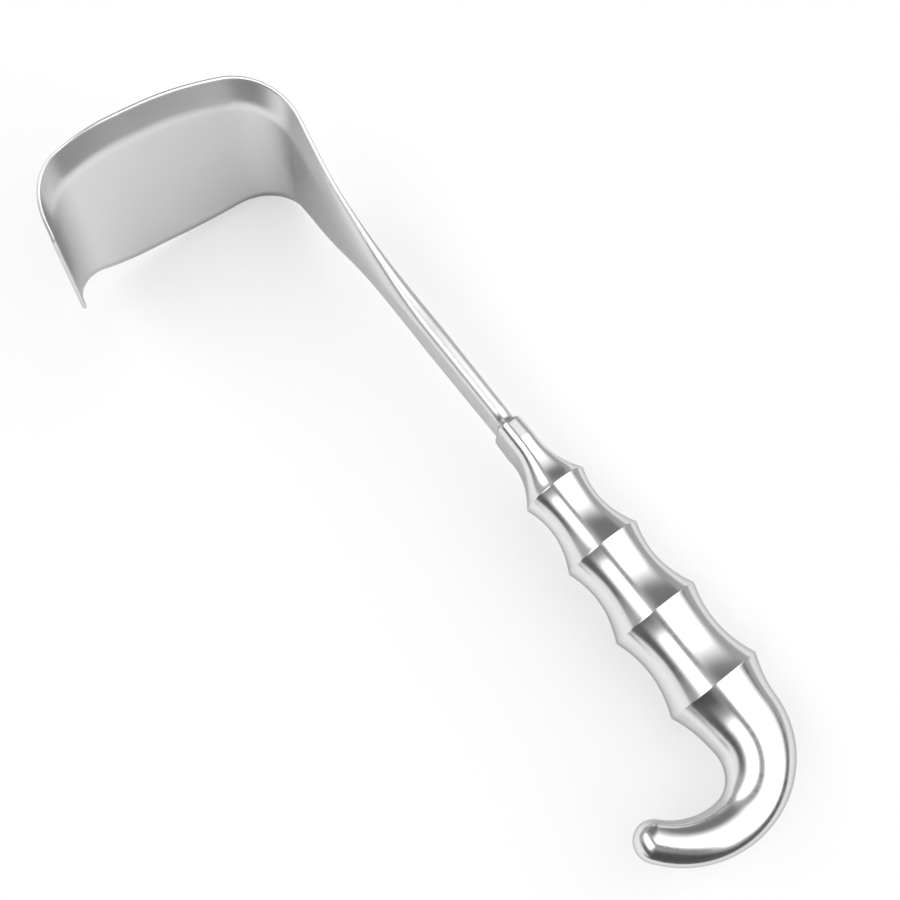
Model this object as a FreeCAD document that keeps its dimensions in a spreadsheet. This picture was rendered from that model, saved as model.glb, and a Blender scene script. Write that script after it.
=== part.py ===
import FreeCAD, Part
import math
import os
import Sketcher
from FreeCAD import Placement, Rotation, Vector

# Handheld retractor with a hooked grip, in millimetres.
# Each piece is drawn with x along the shank towards the blade, y towards the blade's free end
# and z across the blade. x is zero where the shank enters the grip.
# Both pieces then take one placement that lays the instrument on its side on the plane z = 0.

DIMENSIONS = [
    # Shank and blade: one forging, from a round bar drawn out to a thin saddle
    ("shank_diameter", 7.6, "round bar where it leaves the grip"),
    ("bar_diameter", 8.2, "bar where the flare begins"),
    ("flare_start", 34.0, "from the grip to where the bar begins to widen"),
    ("flare_end", 152.7, "length along the bar where the full width is reached"),
    ("gauge_end", 138.0, "length along the bar where the sheet gauge is reached"),
    ("edge_flat", 0.6, "flat left along each side of the bar"),
    ("edge_start", 120.0, "length along the bar where the side edges have the sheet's gauge"),
    ("sheet_gauge", 1.3, "thickness of the blade"),
    ("bend_start", 107.0, "straight run of the bar before the bend"),
    ("bend_radius", 16.0, "neutral radius of the bend"),
    ("bend_angle", 79.2, "turn of the bend in degrees"),
    ("blade_run", 50.5, "blade from the bend to the fold of its lip"),
    ("blade_bow", 320.0, "radius of the blade's own curve"),
    ("lip_radius", 12.8, "radius of the lip's fold"),
    ("lip_angle", 73.0, "turn of the lip in degrees"),
    ("lip_run", 4.0, "straight run at the end of the lip"),
    ("blade_width", 78.7, "across the blade beside the bend"),
    ("lip_width", 78.8, "across the blade at its lip"),
    ("margin_drop", 4.2, "how far the side edges roll away from the grip"),
    ("margin_width", 10.5, "breadth of each rolled side margin"),
    ("margin_fold", 0.4, "share of that breadth that the fold takes"),
    ("roll_lead", 25.6, "how far before the bend the side margins begin to roll"),
    ("taper_lead", 17.3, "how far before the lip's fold the sides begin to draw in"),
    ("lip_taper", 17.2, "how far each side has drawn in at the lip's free edge"),
    ("corner_radius", 3.0, "rounding of the lip's free corners"),
    ("rest_span", 3.5, "how far to each side of the bend's end the edge touches the table"),
    # Grip: a scalloped handle turned about the shank's axis, and its hook
    ("neck_diameter", 10.3, "rim of the neck round the shank"),
    ("neck_run", 7.0, "nearly straight part of the neck"),
    ("neck_growth", 0.6, "growth of the neck's diameter over that run"),
    ("rim_chamfer", 0.5, "bevel round the rim"),
    ("ridge_a_position", 23.3, "first ridge, from the rim"),
    ("ridge_a_diameter", 20.6, "across the first ridge"),
    ("ridge_b_position", 45.3, "second ridge"),
    ("ridge_b_diameter", 24.7, "across the second ridge"),
    ("ridge_c_position", 68.9, "third ridge"),
    ("ridge_c_diameter", 28.1, "across the third ridge"),
    ("ridge_d_position", 94.3, "fourth ridge"),
    ("ridge_d_diameter", 30.0, "across the fourth ridge"),
    ("scallop_depth", 2.6, "depth of each finger scallop below its two ridges"),
    ("neck_sag", 1.7, "hollow of the neck's flare"),
    ("root_sag", 0.6, "hollow between the fourth ridge and the hook"),
    ("hook_start", 106.3, "from the rim to where the hook begins to turn"),
    ("hook_root_diameter", 23.7, "across the hook where it begins to turn"),
    ("palm_radius", 19.7, "centre line radius of the first quarter turn"),
    ("beak_radius", 27.0, "centre line radius of the hook's last part"),
    ("beak_angle", 49.7, "turn of the hook's last part in degrees"),
    ("hook_waist_diameter", 14.4, "across the hook after the quarter turn"),
    ("tip_diameter", 11.6, "across the rounded tip"),
    # Joint between the two pieces
    ("tang_diameter", 6.4, "turned end of the shank inside the neck"),
    ("tang_length", 16.0, "depth of the tang in the neck"),
    ("braze_gap", 0.05, "clearance round the tang"),
]

SIZE = {name: value for name, value, note in DIMENSIONS}


def make_sheet(doc):
    """Driving dimensions, one row each with an alias."""
    sheet = doc.addObject("Spreadsheet::Sheet", "Dims")
    for row, (name, value, note) in enumerate(DIMENSIONS, start=1):
        sheet.set(f"A{row}", name)
        sheet.set(f"B{row}", str(value))
        sheet.setAlias(f"B{row}", name)
        sheet.set(f"C{row}", note)
    return sheet


def ease(start, end, at):
    """Smooth rise from 0 at start to 1 at end."""
    u = min(max((at - start) / (end - start), 0.0), 1.0)
    return u * u * (3.0 - 2.0 * u)


# Side view of the forging: straight bar, bend, gently bowed blade, lip


def side_marks():
    """Lengths along the neutral line where the bend, the blade, the lip and its end begin."""
    bend = SIZE["bend_start"]
    blade = bend + SIZE["bend_radius"] * math.radians(SIZE["bend_angle"])
    lip = blade + SIZE["blade_run"]
    lip_flat = lip + SIZE["lip_radius"] * math.radians(SIZE["lip_angle"])
    return bend, blade, lip, lip_flat, lip_flat + SIZE["lip_run"]


def side_point(along):
    """Position and heading of the neutral line at a length along it."""
    bend, blade, lip, lip_flat, end = side_marks()
    x, y, heading = min(along, bend), 0.0, 0.0
    spans = [
        (bend, blade, SIZE["bend_radius"]),
        (blade, lip, SIZE["blade_bow"]),
        (lip, lip_flat, SIZE["lip_radius"]),
    ]
    for start, stop, radius in spans:
        turn = (min(max(along, start), stop) - start) / radius
        x += radius * (math.sin(heading + turn) - math.sin(heading))
        y += radius * (math.cos(heading) - math.cos(heading + turn))
        heading += turn
    rest = max(along - lip_flat, 0.0)
    return Vector(x + rest * math.cos(heading), y + rest * math.sin(heading), 0.0), heading


def bar_radius(along):
    """Radius of the round bar, which tapers evenly up to the flare."""
    share = min(along / SIZE["flare_start"], 1.0)
    return (SIZE["shank_diameter"] + (SIZE["bar_diameter"] - SIZE["shank_diameter"]) * share) / 2


def half_width(along):
    """Half the forging's width at a length along it."""
    bend, blade, lip, lip_flat, end = side_marks()
    bar = bar_radius(along)
    full = SIZE["blade_width"] / 2
    full += (SIZE["lip_width"] - SIZE["blade_width"]) / 2 * ease(blade, lip, along)
    taper_start = lip - SIZE["taper_lead"]
    drawn_in = max((along - taper_start) / (end - taper_start), 0.0)
    widening = (full - bar) * ease(SIZE["flare_start"], SIZE["flare_end"], along)
    return bar + widening - SIZE["lip_taper"] * drawn_in * drawn_in


def middle_half_gauge(along):
    """Half the thickness on the middle line."""
    bar = bar_radius(along)
    return bar + (SIZE["sheet_gauge"] / 2 - bar) * ease(SIZE["flare_start"], SIZE["gauge_end"], along)


def edge_half_gauge(along):
    """Half the height of the flat side edge."""
    start = SIZE["edge_flat"] / 2
    return start + (SIZE["sheet_gauge"] / 2 - start) * ease(SIZE["flare_start"], SIZE["edge_start"], along)


def margin_roll(across, half, along):
    """Drop of the face at a distance from the middle line, from the rolled side margins."""
    bend, blade, lip, lip_flat, end = side_marks()
    strength = ease(bend - SIZE["roll_lead"], blade, along) * (1 - ease(lip, end, along))
    inner = half - SIZE["margin_width"]
    v = max((abs(across) - inner) / SIZE["margin_width"], 0.0)
    fold = SIZE["margin_fold"]
    ramp = v * v / (2 * fold) if v < fold else v - fold / 2
    return SIZE["margin_drop"] * strength * ramp / (1 - fold / 2)


def forging_section(along):
    """Closed section of the forging: two crowned faces and two flat side edges."""
    origin, heading = side_point(along)
    normal = Vector(-math.sin(heading), math.cos(heading), 0.0)
    half = half_width(along)
    middle = middle_half_gauge(along)
    edge = min(edge_half_gauge(along), middle)
    swing = math.acos(edge / middle)
    shares = [-1.0, -0.88, -0.76, -0.64, -0.5, -0.25, 0.0, 0.25, 0.5, 0.64, 0.76, 0.88, 1.0]

    def face(sign):
        points = []
        for share in shares:
            across = half * (math.sin(share * swing) / math.sin(swing) if swing > 1e-4 else share)
            off = sign * middle * math.cos(share * swing) - margin_roll(across, half, along)
            points.append(origin + normal * off + Vector(0, 0, across))
        curve = Part.BSplineCurve()
        curve.interpolate(Points=points, Parameters=shares)
        return curve.toShape(), points[0], points[-1]

    outer, outer_low, outer_high = face(1)
    inner, inner_low, inner_high = face(-1)
    sides = [Part.makeLine(outer_high, inner_high), Part.makeLine(inner_low, outer_low)]
    return Part.Wire(Part.__sortEdges__([outer, sides[0], inner, sides[1]]))


def forging_stations():
    """Lengths along the neutral line that carry a section from the flare on, closer where it turns."""
    bend, blade, lip, lip_flat, end = side_marks()
    flare = SIZE["flare_start"]
    stations = [flare + (bend - flare) * share for share in (0.0, 0.08, 0.2, 0.35, 0.5, 0.66, 0.8, 0.91)]
    stations += [bend + (blade - bend) * share for share in (0.0, 0.2, 0.4, 0.6, 0.8, 1.0)]
    stations += [blade + (lip - blade) * share for share in (0.14, 0.32, 0.55, 0.78, 0.93)]
    stations += [lip + (lip_flat - lip) * share for share in (0.06, 0.25, 0.5, 0.75, 1.0)]
    return stations + [end]


def lip_corner_edges(shape):
    """Short edges through the sheet at the lip's two free corners."""
    tip, heading = side_point(side_marks()[4])
    half = half_width(side_marks()[4])
    corners = [tip + Vector(0, 0, half), tip - Vector(0, 0, half)]
    gauge = SIZE["sheet_gauge"]
    return [edge for edge in shape.Edges if edge.Length < 2 * gauge
            and min((edge.CenterOfMass - corner).Length for corner in corners) < gauge]


def build_blade_and_shank(doc):
    """Forged shank and saddle blade with the turned tang."""
    bar = Part.makeLoft([forging_section(0.0), forging_section(SIZE["flare_start"])], True, True)
    blade = Part.makeLoft([forging_section(a) for a in forging_stations()], True, False)
    sunk = SIZE["shank_diameter"] / 8
    tang = Part.makeCylinder(SIZE["tang_diameter"] / 2, SIZE["tang_length"] + sunk,
                             Vector(sunk, 0, 0), Vector(-1, 0, 0))
    shape = blade.makeFillet(SIZE["corner_radius"], lip_corner_edges(blade)).fuse([bar, tang])
    piece = doc.addObject("Part::Feature", "blade_and_shank")
    piece.Shape = shape.Solids[0] if len(shape.Solids) == 1 else shape
    piece.Label = "blade_and_shank"
    return piece


# Grip


def origin_plane(body, role):
    """One of the body's own origin planes."""
    return [item for item in body.Origin.OriginFeatures if item.Role == role][0]


def add_sketch(body, name, role="XY_Plane"):
    """Empty sketch on one of the body's own planes."""
    sketch = body.newObject("Sketcher::SketchObject", name)
    sketch.AttachmentSupport = [(origin_plane(body, role), "")]
    sketch.MapMode = "FlatFace"
    return sketch


def bind(sketch, kind, args, name, formula):
    """Adds a driving constraint, names it and binds it to the sheet."""
    index = sketch.addConstraint(Sketcher.Constraint(kind, *args))
    sketch.renameConstraint(index, name)
    sketch.setExpression(f"Constraints.{name}", formula)


def grip_outline():
    """Outline points of the turned grip: name, distance from the rim, radius and their formulas."""
    points = [("rim", 0.0, SIZE["neck_diameter"] / 2, "0", "Dims.neck_diameter / 2")]
    neck_radius = (SIZE["neck_diameter"] + SIZE["neck_growth"]) / 2
    points.append(("neck", SIZE["neck_run"], neck_radius,
                   "Dims.neck_run", "(Dims.neck_diameter + Dims.neck_growth) / 2"))
    for ridge in ("ridge_a", "ridge_b", "ridge_c", "ridge_d"):
        points.append((ridge, SIZE[f"{ridge}_position"], SIZE[f"{ridge}_diameter"] / 2,
                       f"Dims.{ridge}_position", f"Dims.{ridge}_diameter / 2"))
    points.append(("root", SIZE["hook_start"], SIZE["hook_root_diameter"] / 2,
                   "Dims.hook_start", "Dims.hook_root_diameter / 2"))
    return points


def hollow_pole(start, end, sag):
    """Control point of the hollow between two outline points, as an outline point of its own."""
    return (f"{end[0]}_hollow", (start[1] + end[1]) / 2, (start[2] + end[2]) / 2 - 2 * SIZE[sag],
            f"(({start[3]}) + ({end[3]})) / 2", f"(({start[4]}) + ({end[4]})) / 2 - 2 * Dims.{sag}")


def outline_vector(point):
    """Place of an outline point in the sketch."""
    return Vector(-point[1], point[2], 0)


def place_point(sketch, geometry, end, point):
    """Binds a point of the sketch to its outline point's distance and radius."""
    bind(sketch, "DistanceY", (-1, 1, geometry, end, point[2]), f"{point[0]}_radius", point[4])
    if point[1] > 0:
        bind(sketch, "DistanceX", (geometry, end, -1, 1, point[1]), f"{point[0]}_place", point[3])


def add_hollow(sketch, start, end, sag):
    """Finger scallop: a parabola between two outline points. Its control point is bound to the sheet."""
    pole = hollow_pole(start, end, sag)
    curve = Part.BSplineCurve()
    curve.buildFromPolesMultsKnots([outline_vector(p) for p in (start, pole, end)], [3, 3], [0, 1], False, 2)
    index = sketch.addGeometry(curve, False)
    first_pole = sketch.GeometryCount
    sketch.exposeInternalGeometry(index)
    place_point(sketch, first_pole + 1, 3, pole)
    return index


def sketch_grip_profile(body):
    """Turned outline: neck, four ridges with finger scallops between them, root of the hook."""
    sketch = add_sketch(body, "GripProfile")
    points = grip_outline()
    rim, neck, root = points[0], points[1], points[-1]
    curves = [sketch.addGeometry(Part.LineSegment(outline_vector(rim), outline_vector(neck)), False)]
    sags = ["neck_sag", "scallop_depth", "scallop_depth", "scallop_depth", "root_sag"]
    for sag, start, end in zip(sags, points[1:], points[2:]):
        curves.append(add_hollow(sketch, start, end, sag))
    corners = [outline_vector(root), Vector(-root[1], 0, 0), Vector(0, 0, 0), outline_vector(rim)]
    down, axis, rise = [sketch.addGeometry(Part.LineSegment(a, b), False)
                        for a, b in zip(corners, corners[1:])]
    ring = [rise] + curves + [down, axis, rise]
    for left, right in zip(ring, ring[1:]):
        sketch.addConstraint(Sketcher.Constraint("Coincident", left, 2, right, 1))
    sketch.addConstraint(Sketcher.Constraint("Coincident", axis, 2, -1, 1))
    sketch.addConstraint(Sketcher.Constraint("Horizontal", axis))
    sketch.addConstraint(Sketcher.Constraint("Vertical", down))
    sketch.addConstraint(Sketcher.Constraint("Vertical", rise))
    for curve, point in zip([rise] + curves, points):
        place_point(sketch, curve, 2, point)
    return sketch


def hook_stations():
    """Sections of the hook: place on its centre line, heading and the formula of its diameter."""
    palm, beak = SIZE["palm_radius"], SIZE["beak_radius"]
    root, waist, tip = "Dims.hook_root_diameter", "Dims.hook_waist_diameter", "Dims.tip_diameter"
    stations = []
    for share in (0.0, 0.2, 0.4, 0.6, 0.8, 1.0):
        turn = math.radians(90.0 * share)
        place = Vector(-SIZE["hook_start"] - palm * math.sin(turn), palm * (1 - math.cos(turn)), 0)
        stations.append((place, turn, f"{root} + ({waist} - {root}) * {share}"))
    centre = Vector(-SIZE["hook_start"] - palm + beak, palm, 0)
    for share in (0.3, 0.65, 1.0):
        turn = math.radians(SIZE["beak_angle"] * share)
        place = centre + Vector(-beak * math.cos(turn), beak * math.sin(turn), 0)
        stations.append((place, math.pi / 2 + turn, f"{waist} + ({tip} - {waist}) * {share}"))
    return stations


def add_hook(body):
    """Round hook that tapers along its bend to a ball tip."""
    sketches = []
    for number, (place, turn, diameter) in enumerate(hook_stations()):
        heading = Vector(-math.cos(turn), math.sin(turn), 0)
        across = Vector(0, 0, 1)
        sketch = add_sketch(body, f"HookSection{number}")
        sketch.AttachmentOffset = Placement(place, Rotation(across, heading.cross(across), heading, "ZXY"))
        sketch.addGeometry(Part.Circle(Vector(0, 0, 0), Vector(0, 0, 1), 5.0), False)
        sketch.addConstraint(Sketcher.Constraint("Coincident", 0, 3, -1, 1))
        bind(sketch, "Diameter", (0, 10.0), "diameter", diameter)
        sketches.append(sketch)
    body.Document.recompute()
    loft = body.newObject("PartDesign::AdditiveLoft", "Hook")
    loft.Profile = sketches[0]
    loft.Sections = sketches[1:]
    loft.Ruled = False
    loft.Closed = False
    ball = body.newObject("PartDesign::AdditiveSphere", "Tip")
    ball.AttachmentSupport = [(origin_plane(body, "XY_Plane"), "")]
    ball.MapMode = "FlatFace"
    place, turn, diameter = hook_stations()[-1]
    heading = Vector(-math.cos(turn), math.sin(turn), 0)
    ball.AttachmentOffset = Placement(place, Rotation(Vector(0, 0, 1), heading))
    ball.setExpression("Radius", "Dims.tip_diameter / 2")
    ball.Angle1 = 0.0
    return ball


def build_grip(doc):
    """Scalloped grip with its hook, bored at the neck for the shank's tang."""
    body = doc.addObject("PartDesign::Body", "hooked_grip")
    body.Label = "hooked_grip"
    turned = body.newObject("PartDesign::Revolution", "Turned")
    turned.Profile = sketch_grip_profile(body)
    turned.ReferenceAxis = (turned.Profile[0], ["H_Axis"])
    turned.Angle = 360.0
    doc.recompute()
    bevel = body.newObject("PartDesign::Chamfer", "RimBevel")
    bevel.Base = (turned, [outer_rim_edge(turned.Shape)])
    bevel.setExpression("Size", "Dims.rim_chamfer")
    doc.recompute()
    add_hook(body)
    doc.recompute()
    bore_sketch = add_sketch(body, "BoreSketch", "YZ_Plane")
    bore_sketch.addGeometry(Part.Circle(Vector(0, 0, 0), Vector(0, 0, 1), 3.0), False)
    bore_sketch.addConstraint(Sketcher.Constraint("Coincident", 0, 3, -1, 1))
    bind(bore_sketch, "Diameter", (0, 6.0), "diameter", "Dims.tang_diameter + 2 * Dims.braze_gap")
    bore = body.newObject("PartDesign::Pocket", "TangBore")
    bore.Profile = bore_sketch
    bore.setExpression("Length", "Dims.tang_length")
    bore.Reversed = False
    doc.recompute()
    return body


def outer_rim_edge(shape):
    """Name of the circle round the end face of the neck."""
    for number, edge in enumerate(shape.Edges, start=1):
        box = edge.BoundBox
        if box.XLength < 1e-6 and abs(box.XMin) < 1e-6 and box.ZLength > 1.0:
            return f"Edge{number}"
    raise RuntimeError("the rim of the neck was not found")


def side_edge_point(along):
    """Point of the forging's lower side edge."""
    origin, heading = side_point(along)
    half = half_width(along)
    drop = margin_roll(half, half, along)
    return origin + Vector(math.sin(heading) * drop, -math.cos(heading) * drop, -half)


def lying_placement():
    """Turns the instrument on its side: one side edge of the blade and the fourth ridge touch z = 0."""
    bend_end = side_marks()[1]
    by_bend = side_edge_point(bend_end - SIZE["rest_span"])
    by_lip = side_edge_point(bend_end + SIZE["rest_span"])
    ridge_centre = Vector(-SIZE["ridge_d_position"], 0, 0)
    up = Vector(0, 0, 1)
    for _ in range(8):
        below = Vector(0, up.y, up.z).normalize() * (SIZE["ridge_d_diameter"] / 2)
        up = (by_lip - by_bend).cross(ridge_centre - below - by_bend).normalize()
        if up.z < 0:
            up = up * -1
    forward = (Vector(1, 0, 0) - up * up.x).normalize()
    turn = Rotation(forward, up.cross(forward), up, "ZXY").inverted()
    return Placement(Vector(0, 0, -up.dot(by_bend)), turn)


def check(doc, pieces):
    """Stops if an object failed or a piece has no sound solid."""
    for item in doc.Objects:
        if "Invalid" in item.State or "Error" in item.State:
            raise RuntimeError(f"{item.Label} failed to compute")
    for piece in pieces:
        if piece.Shape.isNull() or not piece.Shape.isValid() or not piece.Shape.Solids:
            raise RuntimeError(f"{piece.Label} has no sound solid")


doc = FreeCAD.newDocument("Retractor")
make_sheet(doc)
doc.recompute()
pieces = [build_blade_and_shank(doc), build_grip(doc)]
place = lying_placement()
for piece in pieces:
    piece.Placement = place
doc.recompute()
check(doc, pieces)
os.makedirs("parts", exist_ok=True)
for piece in pieces:
    piece.Shape.exportStep(f"parts/{piece.Label}.step")
    box = piece.Shape.BoundBox
    print(piece.Label, len(piece.Shape.Solids), round(piece.Shape.Volume, 1),
          [round(v, 2) for v in (box.XMin, box.YMin, box.ZMin, box.XMax, box.YMax, box.ZMax)])
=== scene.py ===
import math

import bmesh
import bpy
import numpy as np
from mathutils import Matrix, Vector


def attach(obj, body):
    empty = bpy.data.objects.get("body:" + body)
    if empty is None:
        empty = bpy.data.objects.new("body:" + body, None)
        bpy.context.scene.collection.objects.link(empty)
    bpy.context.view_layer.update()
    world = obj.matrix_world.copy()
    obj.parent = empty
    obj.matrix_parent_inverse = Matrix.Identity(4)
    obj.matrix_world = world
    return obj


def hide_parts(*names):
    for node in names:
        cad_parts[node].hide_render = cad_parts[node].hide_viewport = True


# Handheld retractor on a white table: a satin saddle blade on a flared shank, and a polished
# scalloped grip with a palm hook. Lengths are in millimetres until a mesh is made, in metres.

MM = 0.001

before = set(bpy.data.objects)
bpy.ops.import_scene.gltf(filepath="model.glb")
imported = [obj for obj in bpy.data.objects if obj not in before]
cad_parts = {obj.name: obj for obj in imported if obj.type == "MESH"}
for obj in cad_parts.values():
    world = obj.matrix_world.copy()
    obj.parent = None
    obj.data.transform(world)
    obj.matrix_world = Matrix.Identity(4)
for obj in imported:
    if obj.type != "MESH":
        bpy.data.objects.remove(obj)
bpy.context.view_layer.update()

# How the instrument lies: its own axes run along the shank, towards the blade's free end and
# across the blade, and it rests on the grip's fourth ridge and on the blade's edge by the bend
LEAN_ON_RIDGE = -4.3933
ROLL_ON_EDGE = 13.3717
RIM_HEIGHT = 22.1796


def lying():
    """Turns the instrument's own axes, in millimetres, into the table's, in metres."""
    lift = Matrix.Translation((0, 0, RIM_HEIGHT))
    lean = Matrix.Rotation(math.radians(LEAN_ON_RIDGE), 4, "Y")
    roll = Matrix.Rotation(math.radians(ROLL_ON_EDGE), 4, "X")
    return Matrix.Scale(MM, 4) @ lift @ lean @ roll


def on_table(points):
    """Points in the instrument's own millimetres, laid on the table in metres."""
    place = np.array(lying())
    return np.asarray(points, float) @ place[:3, :3].T + place[:3, 3]


def ease(start, end, at):
    """Smooth rise from 0 at start to 1 at end."""
    u = np.clip((np.asarray(at, float) - start) / (end - start), 0.0, 1.0)
    return u * u * (3.0 - 2.0 * u)


def packed(start, end, count):
    """Places from start to end, closer together towards both."""
    return start + (end - start) * (0.5 - 0.5 * np.cos(np.linspace(0.0, math.pi, count)))


# Blade and shank: round bar, flare, bend, saddle blade and lip

SHANK_DIAMETER = 7.6
BAR_DIAMETER = 8.2
FLARE_START = 34.0
FLARE_END = 152.7
GAUGE_END = 138.0
EDGE_FLAT = 0.6
EDGE_START = 120.0
SHEET_GAUGE = 1.3
BEND_START = 107.0
BEND_RADIUS = 16.0
BEND_ANGLE = 79.2
BLADE_RUN = 50.5
BLADE_BOW = 320.0
LIP_RADIUS = 12.8
LIP_ANGLE = 73.0
LIP_RUN = 4.0
BLADE_WIDTH = 78.7
LIP_WIDTH = 78.8
MARGIN_DROP = 4.2
MARGIN_WIDTH = 10.5
MARGIN_FOLD = 0.4
ROLL_LEAD = 25.6
TAPER_LEAD = 17.3
LIP_TAPER = 17.2
CORNER_RADIUS = 3.0

BLADE_START = BEND_START + BEND_RADIUS * math.radians(BEND_ANGLE)
LIP_START = BLADE_START + BLADE_RUN
LIP_FLAT = LIP_START + LIP_RADIUS * math.radians(LIP_ANGLE)
BLADE_END = LIP_FLAT + LIP_RUN


def middle_line(along):
    """Place on the middle line and heading, at lengths along it."""
    along = np.asarray(along, float)
    x = np.minimum(along, BEND_START)
    y = np.zeros_like(along)
    heading = np.zeros_like(along)
    spans = [(BEND_START, BLADE_START, BEND_RADIUS), (BLADE_START, LIP_START, BLADE_BOW),
             (LIP_START, LIP_FLAT, LIP_RADIUS)]
    for start, stop, radius in spans:
        turn = (np.clip(along, start, stop) - start) / radius
        x = x + radius * (np.sin(heading + turn) - np.sin(heading))
        y = y + radius * (np.cos(heading) - np.cos(heading + turn))
        heading = heading + turn
    rest = np.maximum(along - LIP_FLAT, 0.0)
    return x + rest * np.cos(heading), y + rest * np.sin(heading), heading


def bar_radius(along):
    """Radius of the round bar, which tapers evenly up to the flare."""
    share = np.minimum(along / FLARE_START, 1.0)
    return (SHANK_DIAMETER + (BAR_DIAMETER - SHANK_DIAMETER) * share) / 2


def half_width(along):
    """Half the forging's width."""
    full = (BLADE_WIDTH + (LIP_WIDTH - BLADE_WIDTH) * ease(BLADE_START, LIP_START, along)) / 2
    bar = bar_radius(along)
    taper_start = LIP_START - TAPER_LEAD
    drawn_in = np.maximum((along - taper_start) / (BLADE_END - taper_start), 0.0)
    return bar + (full - bar) * ease(FLARE_START, FLARE_END, along) - LIP_TAPER * drawn_in ** 2


def middle_half_gauge(along):
    """Half the thickness on the middle line."""
    bar = bar_radius(along)
    return bar + (SHEET_GAUGE / 2 - bar) * ease(FLARE_START, GAUGE_END, along)


def edge_half_gauge(along):
    """Half the thickness just inside the rounded edge."""
    return EDGE_FLAT / 2 + (SHEET_GAUGE - EDGE_FLAT) / 2 * ease(FLARE_START, EDGE_START, along)


def margin_roll(across, half, along):
    """How far the side margins roll away from the grip."""
    strength = ease(BEND_START - ROLL_LEAD, BLADE_START, along) * (1 - ease(LIP_START, BLADE_END, along))
    v = np.maximum((np.abs(across) - half + MARGIN_WIDTH) / MARGIN_WIDTH, 0.0)
    ramp = np.where(v < MARGIN_FOLD, v * v / (2 * MARGIN_FOLD), v - MARGIN_FOLD / 2)
    return MARGIN_DROP * strength * ramp / (1 - MARGIN_FOLD / 2)


def side_slant(along):
    """Growth of the half width per length along the middle line."""
    step = 0.01
    return (half_width(along + step) - half_width(along - step)) / (2 * step)


def corner_start():
    """Length along the middle line where the rounding of the lip's free corners begins."""
    edge = SHEET_GAUGE / 2
    lean = math.atan(-side_slant(BLADE_END))
    return BLADE_END - edge - (CORNER_RADIUS - edge) * (1 - math.sin(lean))


def blade_rows():
    """Lengths along the middle line that carry a row of the mesh, up to the corners' rounding."""
    corner = corner_start()
    runs = [np.linspace(0, FLARE_START, 7), np.linspace(FLARE_START, BEND_START, 51),
            np.linspace(BEND_START, BLADE_START, 31), np.linspace(BLADE_START, LIP_START, 31),
            np.linspace(LIP_START, corner, 25)]
    return np.unique(np.concatenate(runs).round(6))


def blade_columns():
    """Shares of the half width that carry a column, closer together on the rolled margins."""
    inner = np.linspace(0, 0.62, 17)
    arc = 0.62 + 0.38 * np.sin(np.linspace(0, math.pi / 2, 25))
    half = np.unique(np.concatenate([inner, arc]).round(7))
    return np.concatenate([-half[:0:-1], half])


# Shank and neck are pressed flat on the blade's side and its back: the flats' rise as a share of
# the bar's radius, where the press ends and is gone, and how much of a rise the camera sees
SHANK_PRESS = 1.03
SHANK_PRESS_END = 30.0
SHANK_PRESS_GONE = 85.0
NECK_PRESS = 0.84
NECK_PRESS_END = 8.0
FLAT_SHARE = 0.25
SIDE_VIEW = 0.29


def pressed(points, radius, flat):
    """Presses round sections flat on two sides; their width seen from above stays."""
    points = np.array(points, float)
    y, z = points[:, 1], points[:, 2]
    slim = 1 - SIDE_VIEW * flat / radius
    rise = np.clip(z / (FLAT_SHARE * np.maximum(np.hypot(y, z), 1e-9)), -1, 1)
    points[:, 1] = y * slim
    points[:, 2] = z * slim + flat * rise
    return points


def pressed_shank(points):
    """The shank is pressed from the neck on, and runs into the flare."""
    points = np.array(points, float)
    along = np.maximum(points[:, 0], 0.0)
    flat = SHANK_PRESS * bar_radius(along) * (1 - ease(SHANK_PRESS_END, SHANK_PRESS_GONE, points[:, 0]))
    return pressed(points, middle_half_gauge(along), flat)


def face_point(along, across, half, off):
    """Point of the forging, off the neutral sheet by a share of the half thickness."""
    x, y, heading = middle_line(along)
    middle = middle_half_gauge(along)
    edge = np.minimum(edge_half_gauge(along), middle)
    swing = np.arccos(edge / middle)
    share = np.clip(across / half, -1, 1)
    round_share = np.arcsin(np.clip(share * np.sin(swing), -1, 1)) / np.maximum(swing, 1e-6)
    share = np.where(swing > 1e-4, round_share, share)
    lift = off * middle * np.cos(share * swing) - margin_roll(across, half, along)
    return np.stack([x - np.sin(heading) * lift, y + np.cos(heading) * lift, across + 0 * lift], -1)


EDGE_STEPS = 6


def blade_ring(along_row, across_row, half_row, slant):
    """One closed row round the forging: upper face, rounded edge, lower face, rounded edge."""
    radius = np.minimum(edge_half_gauge(along_row), middle_half_gauge(along_row))
    upper = face_point(along_row, across_row, half_row, 1.0)
    lower = face_point(along_row, across_row, half_row, -1.0)
    turns = np.linspace(0, math.pi, EDGE_STEPS + 1)[1:-1]
    out_across, out_along = 1 / math.hypot(1, slant), -slant / math.hypot(1, slant)

    def edge(k, side):
        points = []
        for turn in turns:
            out = math.sin(turn) * radius[k]
            points.append(face_point(along_row[k] + out_along * out, across_row[k] + side * out_across * out,
                                     half_row[k] + out_across * out, math.cos(turn)))
        return points

    return [*upper, *edge(-1, 1), *lower[::-1], *edge(0, -1)[::-1]]


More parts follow.
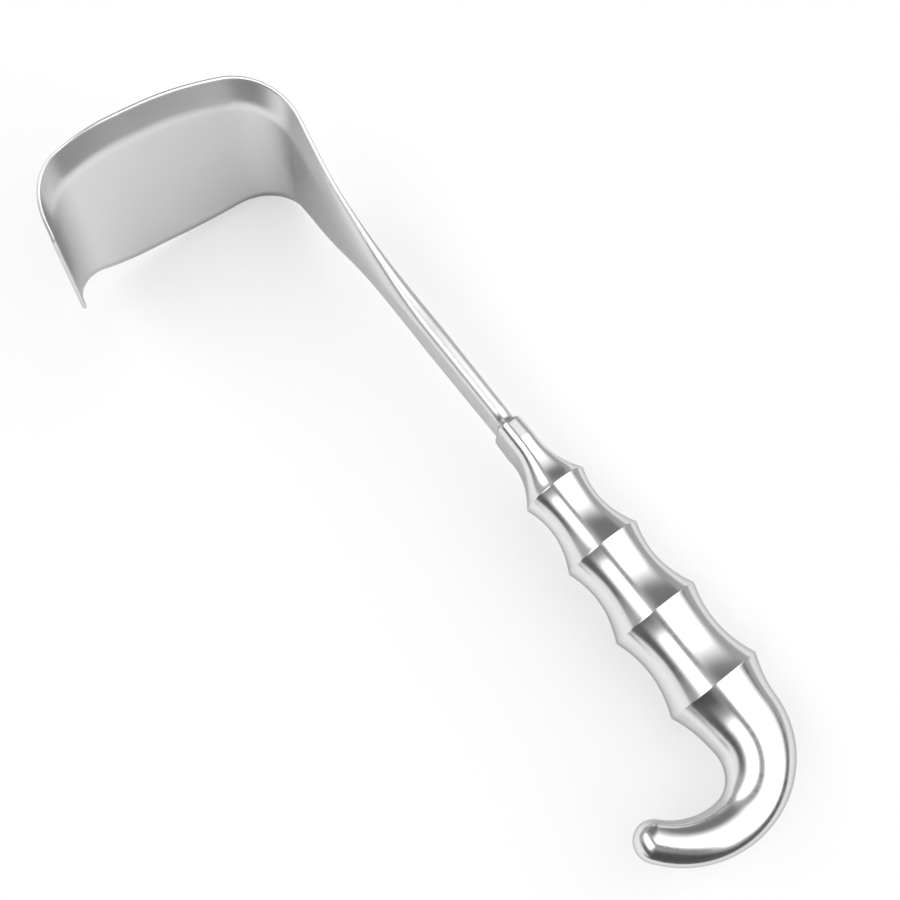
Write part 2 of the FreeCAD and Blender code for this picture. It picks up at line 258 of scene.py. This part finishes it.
def make_blade(name):
    """Closed smooth mesh of the blade and shank."""
    shares = blade_columns()
    columns = len(shares)
    rings = []
    for row in blade_rows():
        along = np.full(columns, row)
        inset = np.minimum(edge_half_gauge(along), middle_half_gauge(along))
        half = half_width(along)
        slant = side_slant(row)
        across = shares * (half - inset * math.hypot(1, slant))
        rings.append(blade_ring(along, across, half, slant))
    for step in np.linspace(0, 1, 9)[1:]:
        along, across = corner_row(shares, step)
        rings.append(blade_ring(along, across, half_width(along), side_slant(along[-1])))
    ring_size = len(rings[0])
    vertices = [v for ring in rings for v in ring]
    faces = []
    for i in range(len(rings) - 1):
        for k in range(ring_size):
            a, b = i * ring_size + k, i * ring_size + (k + 1) % ring_size
            faces.append((a, b, b + ring_size, a + ring_size))
    faces.append(tuple(range(ring_size - 1, -1, -1)))
    last = (len(rings) - 1) * ring_size
    faces += close_lip(vertices, last, columns, along, across)
    mesh = bpy.data.meshes.new(name)
    mesh.from_pydata(on_table(pressed_shank(vertices)).tolist(), [], [tuple(f) for f in faces])
    return finish_mesh(name, mesh)


def corner_drop(across):
    """How far the lip's free edge falls back towards its round corners, and the corners' own share."""
    edge = SHEET_GAUGE / 2
    radius = CORNER_RADIUS - edge
    lean = math.atan(-side_slant(BLADE_END))
    past = np.maximum(np.abs(across) - (np.abs(across[-1]) - radius * math.cos(lean)), 0.0)
    return radius - np.sqrt(radius * radius - past * past), np.sign(across) * past / radius


def corner_row(shares, step):
    """Row between the last straight row and the lip's free edge, whose ends follow the round corners."""
    start = corner_start()
    slant = side_slant(start)
    across = shares * (half_width(start) - SHEET_GAUGE / 2 * math.hypot(1, slant))
    drop, _ = corner_drop(across)
    run = BLADE_END - SHEET_GAUGE / 2 - start
    return start + (run - np.minimum(drop, run)) * step, across


def close_lip(vertices, last, columns, along, across):
    """Rounded free edge of the lip, from the upper face's last row to the lower face's."""
    edge = SHEET_GAUGE / 2
    _, out_across = corner_drop(across)
    out_along = np.sqrt(1 - out_across ** 2)
    steps = EDGE_STEPS
    turns = np.linspace(0, math.pi, steps + 1)[1:-1]
    upper = [last + k for k in range(columns)]
    lower = [last + columns + (steps - 1) + (columns - 1 - k) for k in range(columns)]
    right = [last + columns + k for k in range(steps - 1)]
    left = [last + 2 * columns + 2 * (steps - 1) - 1 - k for k in range(steps - 1)]
    rows = [upper]
    for number, turn in enumerate(turns):
        out = math.sin(turn) * edge
        points = face_point(along + out_along * out, across + out_across * out,
                            half_width(along), math.cos(turn))
        row = [left[number]]
        for k in range(1, columns - 1):
            row.append(len(vertices))
            vertices.append(points[k])
        row.append(right[number])
        rows.append(row)
    rows.append(lower)
    faces = []
    for a, b in zip(rows, rows[1:]):
        for k in range(columns - 1):
            faces.append((a[k], a[k + 1], b[k + 1], b[k]))
    return faces


def finish_mesh(name, mesh):
    """Object with smooth shading and outward faces."""
    shell = bmesh.new()
    shell.from_mesh(mesh)
    bmesh.ops.remove_doubles(shell, verts=shell.verts, dist=1e-7)
    bmesh.ops.dissolve_degenerate(shell, dist=1e-7, edges=shell.edges)
    bmesh.ops.recalc_face_normals(shell, faces=shell.faces)
    shell.to_mesh(mesh)
    shell.free()
    mesh.polygons.foreach_set("use_smooth", [True] * len(mesh.polygons))
    piece = bpy.data.objects.new(name, mesh)
    bpy.context.scene.collection.objects.link(piece)
    return piece


# Grip: turned scallops, then a hook that tapers along its bend

NECK_DIAMETER = 10.3
NECK_RUN = 7.0
NECK_GROWTH = 0.6
RIM_BEVEL = 0.5
RIDGES = [(23.3, 20.6), (45.3, 24.7), (68.9, 28.1), (94.3, 30.0)]
SCALLOP_DEPTH = 2.6
NECK_SAG = 1.7
ROOT_SAG = 0.6
HOOK_START = 106.3
HOOK_ROOT_DIAMETER = 23.7
PALM_RADIUS = 19.7
BEAK_RADIUS = 27.0
BEAK_ANGLE = 49.7
HOOK_WAIST_DIAMETER = 14.4
TIP_DIAMETER = 11.6
RIDGE_WEAR = 0.05
HOOK_LEAD = 0.6
RIDGE_REACH = 2.0
GRIP_SIDES = 128


def scallop_runs():
    """Turned outline: each run's start, end, radii there and the depth of its hollow."""
    neck = (NECK_RUN, (NECK_DIAMETER + NECK_GROWTH) / 2)
    marks = [neck] + [(place, diameter / 2) for place, diameter in RIDGES]
    marks.append((HOOK_START, HOOK_ROOT_DIAMETER / 2))
    sags = [NECK_SAG] + [SCALLOP_DEPTH] * 3 + [ROOT_SAG]
    return [(a, b, sag) for a, b, sag in zip(marks, marks[1:], sags)]


def hollow_radius(run, at):
    """Radius of one hollow's parabola, also past its ends."""
    (start, first), (end, last), sag = run
    t = (at - start) / (end - start)
    pole = (first + last) / 2 - 2 * sag
    return (1 - t) ** 2 * first + 2 * t * (1 - t) * pole + t * t * last


def grip_line():
    """Centre line of the grip, hook and ball tip: points, radii."""
    places = [0.0, RIM_BEVEL * 0.13, RIM_BEVEL * 0.5, RIM_BEVEL]
    radii = [NECK_DIAMETER / 2 - RIM_BEVEL, NECK_DIAMETER / 2 - RIM_BEVEL * 0.5,
             NECK_DIAMETER / 2 - RIM_BEVEL * 0.13, NECK_DIAMETER / 2]
    for at in np.linspace(RIM_BEVEL, NECK_RUN, 12)[1:-1]:
        places.append(at)
        radii.append(NECK_DIAMETER / 2 + NECK_GROWTH / 2 * (at / NECK_RUN))
    runs = scallop_runs()
    for number, run in enumerate(runs):
        for at in packed(run[0][0], run[1][0], 34)[:-1]:
            last = number == len(runs) - 1
            if last and HOOK_START - at < HOOK_LEAD:
                continue
            near = [hollow_radius(run, at)]
            if number > 0 and at - run[0][0] < RIDGE_REACH:
                near.append(hollow_radius(runs[number - 1], at))
            if not last and run[1][0] - at < RIDGE_REACH:
                near.append(hollow_radius(runs[number + 1], at))
            low = min(near)
            wear = RIDGE_WEAR * math.log(sum(math.exp(-(r - low) / RIDGE_WEAR) for r in near))
            places.append(at)
            radii.append(low - wear)
    points = [Vector((-at, 0, 0)) for at in places]
    slope = (TIP_DIAMETER - HOOK_WAIST_DIAMETER) / 2 / (BEAK_RADIUS * math.radians(BEAK_ANGLE))
    taper = slope * PALM_RADIUS * math.pi / 2
    for share in np.linspace(0, 1, 49):
        turn = math.radians(90 * share)
        reach, rise = PALM_RADIUS * math.sin(turn), PALM_RADIUS * (1 - math.cos(turn))
        points.append(Vector((-HOOK_START - reach, rise, 0)))
        waist = (HOOK_WAIST_DIAMETER - HOOK_ROOT_DIAMETER) / 2 - taper
        radii.append(HOOK_ROOT_DIAMETER / 2 + taper * share + waist * share * share * (3 - 2 * share))
    centre = Vector((-HOOK_START - PALM_RADIUS + BEAK_RADIUS, PALM_RADIUS, 0))
    for share in np.linspace(0, 1, 25)[1:]:
        turn = math.radians(BEAK_ANGLE * share)
        points.append(centre + Vector((-BEAK_RADIUS * math.cos(turn), BEAK_RADIUS * math.sin(turn), 0)))
        radii.append((HOOK_WAIST_DIAMETER + (TIP_DIAMETER - HOOK_WAIST_DIAMETER) * share) / 2)
    turn = math.radians(90 + BEAK_ANGLE)
    heading = Vector((-math.cos(turn), math.sin(turn), 0))
    end = points[-1].copy()
    for swing in np.linspace(0, 89, 22)[1:]:
        points.append(end + heading * (TIP_DIAMETER / 2 * math.sin(math.radians(swing))))
        radii.append(TIP_DIAMETER / 2 * math.cos(math.radians(swing)))
    return points, radii


def round_bar_tree():
    """Node tree that skins a centre line with circles of the line's own radius."""
    tree = bpy.data.node_groups.new("round_bar", "GeometryNodeTree")
    tree.interface.new_socket("Line", in_out="INPUT", socket_type="NodeSocketGeometry")
    sides = tree.interface.new_socket("Sides", in_out="INPUT", socket_type="NodeSocketInt")
    finish = tree.interface.new_socket("Finish", in_out="INPUT", socket_type="NodeSocketMaterial")
    tree.interface.new_socket("Bar", in_out="OUTPUT", socket_type="NodeSocketGeometry")
    nodes, links = tree.nodes, tree.links
    given = nodes.new("NodeGroupInput")
    made = nodes.new("NodeGroupOutput")
    length = nodes.new("GeometryNodeSplineParameter")
    keep = nodes.new("GeometryNodeStoreNamedAttribute")
    keep.data_type = "FLOAT"
    keep.domain = "POINT"
    keep.inputs["Name"].default_value = "along"
    radius = nodes.new("GeometryNodeInputRadius")
    circle = nodes.new("GeometryNodeCurvePrimitiveCircle")
    circle.inputs["Radius"].default_value = 1.0
    skin = nodes.new("GeometryNodeCurveToMesh")
    skin.inputs["Fill Caps"].default_value = True
    smooth = nodes.new("GeometryNodeSetShadeSmooth")
    real = nodes.new("GeometryNodeRealizeInstances")
    paint = nodes.new("GeometryNodeSetMaterial")
    links.new(given.outputs["Line"], keep.inputs["Geometry"])
    links.new(length.outputs["Length"], keep.inputs["Value"])
    links.new(given.outputs["Sides"], circle.inputs["Resolution"])
    links.new(keep.outputs["Geometry"], skin.inputs["Curve"])
    links.new(circle.outputs["Curve"], skin.inputs["Profile Curve"])
    if "Scale" in skin.inputs:
        links.new(radius.outputs["Radius"], skin.inputs["Scale"])
    links.new(skin.outputs["Mesh"], smooth.inputs["Geometry"])
    links.new(smooth.outputs["Geometry"], real.inputs["Geometry"])
    links.new(real.outputs["Geometry"], paint.inputs["Geometry"])
    links.new(given.outputs["Finish"], paint.inputs["Material"])
    links.new(paint.outputs["Geometry"], made.inputs["Bar"])
    return tree, sides.identifier, finish.identifier


def make_grip(name, finish):
    """Scalloped grip and hook, skinned along its centre line."""
    points, radii = grip_line()
    line = bpy.data.curves.new("grip_line", "CURVE")
    line.dimensions = "3D"
    spline = line.splines.new("POLY")
    spline.points.add(len(points) - 1)
    placed = on_table([tuple(p) for p in points])
    for target, place, radius in zip(spline.points, placed, radii):
        target.co = (*place, 1.0)
        target.radius = radius * MM
    carrier = bpy.data.objects.new("grip_line", line)
    bpy.context.scene.collection.objects.link(carrier)
    tree, sides, paint = round_bar_tree()
    skin = carrier.modifiers.new("round_bar", "NODES")
    skin.node_group = tree
    skin[sides] = GRIP_SIDES
    skin[paint] = finish
    bpy.context.view_layer.update()
    dg = bpy.context.evaluated_depsgraph_get()
    mesh = bpy.data.meshes.new_from_object(carrier.evaluated_get(dg))
    mesh.name = name
    bpy.data.objects.remove(carrier)
    press_neck(mesh)
    return finish_mesh(name, mesh)


def press_neck(mesh):
    """The neck is pressed as the shank is, and gets round by the first ridge."""
    back = np.array(lying().inverted())
    points = np.array([v.co[:] for v in mesh.vertices]) @ back[:3, :3].T + back[:3, 3]
    radius = np.maximum(np.hypot(points[:, 1], points[:, 2]), 1e-6)
    fade = 1 - ease(NECK_PRESS_END, RIDGES[0][0], -points[:, 0])
    points = pressed(points, radius, NECK_PRESS * radius * fade)
    mesh.vertices.foreach_set("co", on_table(points).ravel())
    mesh.update()


# Finishes


def ramp(tree, value, start, end, low=0.0, high=1.0):
    """Smooth ramp of a value, from low at start to high at end."""
    node = tree.nodes.new("ShaderNodeMapRange")
    node.interpolation_type = "SMOOTHSTEP"
    tree.links.new(value, node.inputs["Value"])
    for socket, number in zip(("From Min", "From Max", "To Min", "To Max"), (start, end, low, high)):
        node.inputs[socket].default_value = number
    return node.outputs["Result"]


def sum_up(tree, operation, first, second, third=None):
    """Math node on sockets or plain numbers."""
    node = tree.nodes.new("ShaderNodeMath")
    node.operation = operation
    for socket, term in zip(node.inputs, (first, second, third)):
        if isinstance(term, (int, float)):
            socket.default_value = term
        elif term is not None:
            tree.links.new(term, socket)
    return node.outputs["Value"]


def window(tree, value, rise, full, fade, gone):
    """1 between full and fade, 0 outside rise and gone."""
    return sum_up(tree, "MULTIPLY", ramp(tree, value, rise, full), ramp(tree, value, fade, gone, 1.0, 0.0))


def laid_over(tree, below, strength, share):
    """Brightness of a panel laid over what is behind it."""
    node = tree.nodes.new("ShaderNodeMix")
    node.data_type = "FLOAT"
    tree.links.new(share, node.inputs[0])
    for socket, term in zip((node.inputs[2], node.inputs[3]), (below, strength)):
        if isinstance(term, (int, float)):
            socket.default_value = term
        else:
            tree.links.new(term, socket)
    return node.outputs[0]


# Brush lines per metre across and along the way they run, and how deep they are, in metres
BLADE_BRUSH = (2600, 2600, 70)
GRIP_GRAIN = (60, 60, 60)
GRIP_BRUSH = 3000.0
BRUSH_DEPTH = 0.00002
# Grey tint of the steel's reflection at grazing angles: painted shade along the silhouettes
PAINTED_EDGE_SHADE = 0.55


def brushed_steel(name, colour, roughness, spread, relief):
    """Steel with fine brush lines in its gloss and relief: the material and the lines' place socket."""
    material = bpy.data.materials.new(name)
    material.use_nodes = True
    tree = material.node_tree
    shader = tree.nodes["Principled BSDF"]
    shader.inputs["Base Color"].default_value = (*colour, 1)
    shader.inputs["Metallic"].default_value = 1.0
    # Reflection at grazing angles is tinted grey: painted shade along the silhouettes
    shader.inputs["Specular Tint"].default_value = (PAINTED_EDGE_SHADE, PAINTED_EDGE_SHADE, PAINTED_EDGE_SHADE, 1)
    lines = tree.nodes.new("ShaderNodeTexNoise")
    lines.inputs["Scale"].default_value = 1.0
    lines.inputs["Detail"].default_value = 3.0
    lines.inputs["Roughness"].default_value = 0.6
    tree.links.new(ramp(tree, lines.outputs["Fac"], 0.3, 0.7, roughness - spread, roughness + spread),
                   shader.inputs["Roughness"])
    bump = tree.nodes.new("ShaderNodeBump")
    bump.inputs["Strength"].default_value = relief
    bump.inputs["Distance"].default_value = BRUSH_DEPTH
    tree.links.new(lines.outputs["Fac"], bump.inputs["Height"])
    tree.links.new(bump.outputs["Normal"], shader.inputs["Normal"])
    return material, lines.inputs["Vector"]


def lines_across_blade(material, place_socket):
    """Brush lines that run from side edge to side edge."""
    tree = material.node_tree
    place = tree.nodes.new("ShaderNodeTexCoord")
    stretch = tree.nodes.new("ShaderNodeMapping")
    stretch.inputs["Scale"].default_value = BLADE_BRUSH
    tree.links.new(place.outputs["Object"], stretch.inputs["Vector"])
    tree.links.new(stretch.outputs["Vector"], place_socket)


def lines_round_grip(material, place_socket):
    """Polishing lines that run round the grip and its hook."""
    tree = material.node_tree
    length = tree.nodes.new("ShaderNodeAttribute")
    length.attribute_name = "along"
    place = tree.nodes.new("ShaderNodeTexCoord")
    stretch = tree.nodes.new("ShaderNodeMapping")
    stretch.inputs["Scale"].default_value = GRIP_GRAIN
    join = tree.nodes.new("ShaderNodeVectorMath")
    join.operation = "ADD"
    run = tree.nodes.new("ShaderNodeCombineXYZ")
    tree.links.new(place.outputs["Object"], stretch.inputs["Vector"])
    tree.links.new(sum_up(tree, "MULTIPLY", length.outputs["Fac"], GRIP_BRUSH), run.inputs["X"])
    tree.links.new(stretch.outputs["Vector"], join.inputs[0])
    tree.links.new(run.outputs["Vector"], join.inputs[1])
    tree.links.new(join.outputs["Vector"], place_socket)


blade_steel, blade_lines = brushed_steel("satin_blade_steel", (0.76, 0.76, 0.76), 0.34, 0.03, 0.08)
lines_across_blade(blade_steel, blade_lines)
grip_steel, grip_lines = brushed_steel("polished_grip_steel", (0.80, 0.80, 0.80), 0.19, 0.03, 0.07)
lines_round_grip(grip_steel, grip_lines)

blade = make_blade("saddle_blade")
blade.data.materials.clear()
blade.data.materials.append(blade_steel)
grip = make_grip("scalloped_grip", grip_steel)
grip.data.materials.clear()
grip.data.materials.append(grip_steel)
for piece, node, slot in ((blade, "blade_and_shank", "blade_steel"), (grip, "hooked_grip", "grip_steel")):
    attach(piece, "root")
    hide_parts(node)

# Table, light and camera

CAMERA_PLACE = Vector((-0.11731, 0.02314, 0.40288))
CAMERA_RIGHT = Vector((-0.59100, -0.78680, -0.17794))
CAMERA_DOWN = Vector((-0.74594, 0.61701, -0.25074))
CAMERA_LENS = 54.0

# The table is a white sheet. The camera sees SHEET_GLOW of it as plain white, and the steel mirrors
# a painted grey patch and a painted dark front strip on it, painted reflections that only glossy rays
# see: where each begins and ends, in metres, and its grey
TABLE_SIZE = 3.0
SHEET_WHITE = 0.97
SHEET_GLOW = 0.5
PAINTED_GREY_REFLECTION = (-0.062, -0.056, 0.40)
PAINTED_DARK_REFLECTION = (-0.180, -0.172, 0.10)


def make_table():
    """White table that shows plain white and keeps a soft shadow; to glossy rays it shows painted
    reflections, a grey patch and a dark front strip.
    """
    mesh = bpy.data.meshes.new("table")
    size = TABLE_SIZE
    corners = [(-size, -size, 0), (size, -size, 0), (size, size, 0), (-size, size, 0)]
    mesh.from_pydata(corners, [], [(0, 1, 2, 3)])
    table = bpy.data.objects.new("table", mesh)
    bpy.context.scene.collection.objects.link(table)
    material = bpy.data.materials.new("white_table")
    material.use_nodes = True
    tree = material.node_tree
    tree.nodes.clear()
    out = tree.nodes.new("ShaderNodeOutputMaterial")
    matt = tree.nodes.new("ShaderNodeBsdfDiffuse")
    white = tree.nodes.new("ShaderNodeEmission")
    place = tree.nodes.new("ShaderNodeTexCoord")
    split = tree.nodes.new("ShaderNodeSeparateXYZ")
    path = tree.nodes.new("ShaderNodeLightPath")
    tree.links.new(place.outputs["Object"], split.inputs[0])
    # Painted reflections: a grey patch and a dark front strip, seen only in the steel's reflections
    on_painted_grey = ramp(tree, split.outputs["Y"], PAINTED_GREY_REFLECTION[0], PAINTED_GREY_REFLECTION[1], 1.0, 0.0)
    past_painted_dark = ramp(tree, split.outputs["X"], PAINTED_DARK_REFLECTION[0], PAINTED_DARK_REFLECTION[1], 1.0, 0.0)
    painted_mirror_colour = laid_over(tree, SHEET_WHITE, PAINTED_GREY_REFLECTION[2], on_painted_grey)
    painted_mirror_colour = laid_over(tree, painted_mirror_colour, PAINTED_DARK_REFLECTION[2], past_painted_dark)
    mirrored = sum_up(tree, "MAXIMUM", path.outputs["Is Glossy Ray"], path.outputs["Is Transmission Ray"])
    tree.links.new(laid_over(tree, SHEET_WHITE, painted_mirror_colour, mirrored), matt.inputs["Color"])
    white.inputs["Strength"].default_value = 1.0
    shows = sum_up(tree, "MULTIPLY", path.outputs["Is Camera Ray"], SHEET_GLOW)
    blend = tree.nodes.new("ShaderNodeMixShader")
    tree.links.new(shows, blend.inputs["Fac"])
    tree.links.new(matt.outputs[0], blend.inputs[1])
    tree.links.new(white.outputs[0], blend.inputs[2])
    tree.links.new(blend.outputs[0], out.inputs[0])
    mesh.materials.append(material)
    return table


# Each panel: its brightness, then where it rises, is full, fades and is gone, first in degrees
# round the instrument's axis from the blade's side, then in degrees along it towards the blade
ROOM = 0.42
PANELS = {
    "far_wall": (0.20, (75, 100, 165, 185), (22, 40, 60, 80)),
    "right_softbox": (2.05, (81, 84, 138, 170), (-78, -58, -4, 36)),
    "left_softbox": (2.05, (22, 46, 65, 69), (-24, -10, 52, 75)),
    "dark_wall": (0.09, (-60, -30, 20, 34), (-50, -20, 8, 48)),
    "front_wall": (0.08, (-60, -40, 50, 78), (-95, -90, -42, -20)),
    "camera": (0.20, (66, 69, 78, 82), (-60, -48, 10, 40)),
    "seam": (0.95, (92, 94, 96, 98), (-60, -40, 5, 25)),
}
SWEEP_EDGE = 8.0
SWEEP_BEND = 0.0105
SWEEP_MIDDLE = 8.0


def make_studio():
    """White room lit by two long softboxes that hang along both sides of the instrument."""
    world = bpy.data.worlds.new("studio")
    bpy.context.scene.world = world
    world.use_nodes = True
    tree = world.node_tree
    place = tree.nodes.new("ShaderNodeTexCoord")
    axes = lying().to_3x3().normalized()
    parts = []
    for axis in range(3):
        dot = tree.nodes.new("ShaderNodeVectorMath")
        dot.operation = "DOT_PRODUCT"
        dot.inputs[1].default_value = axes.col[axis]
        tree.links.new(place.outputs["Generated"], dot.inputs[0])
        parts.append(dot.outputs["Value"])
    degrees = math.degrees(1.0)
    turn = sum_up(tree, "MULTIPLY", sum_up(tree, "ARCTAN2", parts[2], parts[1]), degrees)
    turn = sum_up(tree, "WRAP", turn, 270.0, -90.0)
    lean = sum_up(tree, "MULTIPLY", sum_up(tree, "ARCSINE", parts[0], 0.0), degrees)
    light = ROOM
    for strength, round_axis, along_axis in PANELS.values():
        share = sum_up(tree, "MULTIPLY", window(tree, turn, *round_axis), window(tree, lean, *along_axis))
        light = laid_over(tree, light, strength, share)
    off = sum_up(tree, "SUBTRACT", lean, SWEEP_MIDDLE)
    bend = sum_up(tree, "MULTIPLY", sum_up(tree, "MULTIPLY", off, off), SWEEP_BEND)
    above = sum_up(tree, "ADD", turn, bend)
    light = laid_over(tree, light, SHEET_WHITE, ramp(tree, above, SWEEP_EDGE - 3, SWEEP_EDGE, 1.0, 0.0))
    path = tree.nodes.new("ShaderNodeLightPath")
    light = laid_over(tree, light, 1.0, path.outputs["Is Camera Ray"])
    back = tree.nodes["Background"]
    back.inputs["Color"].default_value = (1, 1, 1, 1)
    tree.links.new(light, back.inputs["Strength"])


make_table()
make_studio()

camera_data = bpy.data.cameras.new("camera")
camera_data.lens = CAMERA_LENS
camera_data.sensor_width = 36.0
camera_data.clip_start = 0.01
camera_data.clip_end = 20.0
camera = bpy.data.objects.new("camera", camera_data)
bpy.context.scene.collection.objects.link(camera)
right = CAMERA_RIGHT.normalized()
down = (CAMERA_DOWN - right * CAMERA_DOWN.dot(right)).normalized()
forward = right.cross(down)
camera.matrix_world = Matrix((
    (right.x, -down.x, -forward.x, CAMERA_PLACE.x),
    (right.y, -down.y, -forward.y, CAMERA_PLACE.y),
    (right.z, -down.z, -forward.z, CAMERA_PLACE.z),
    (0, 0, 0, 1)))
bpy.context.scene.camera = camera

bpy.context.scene.view_settings.view_transform = "Standard"
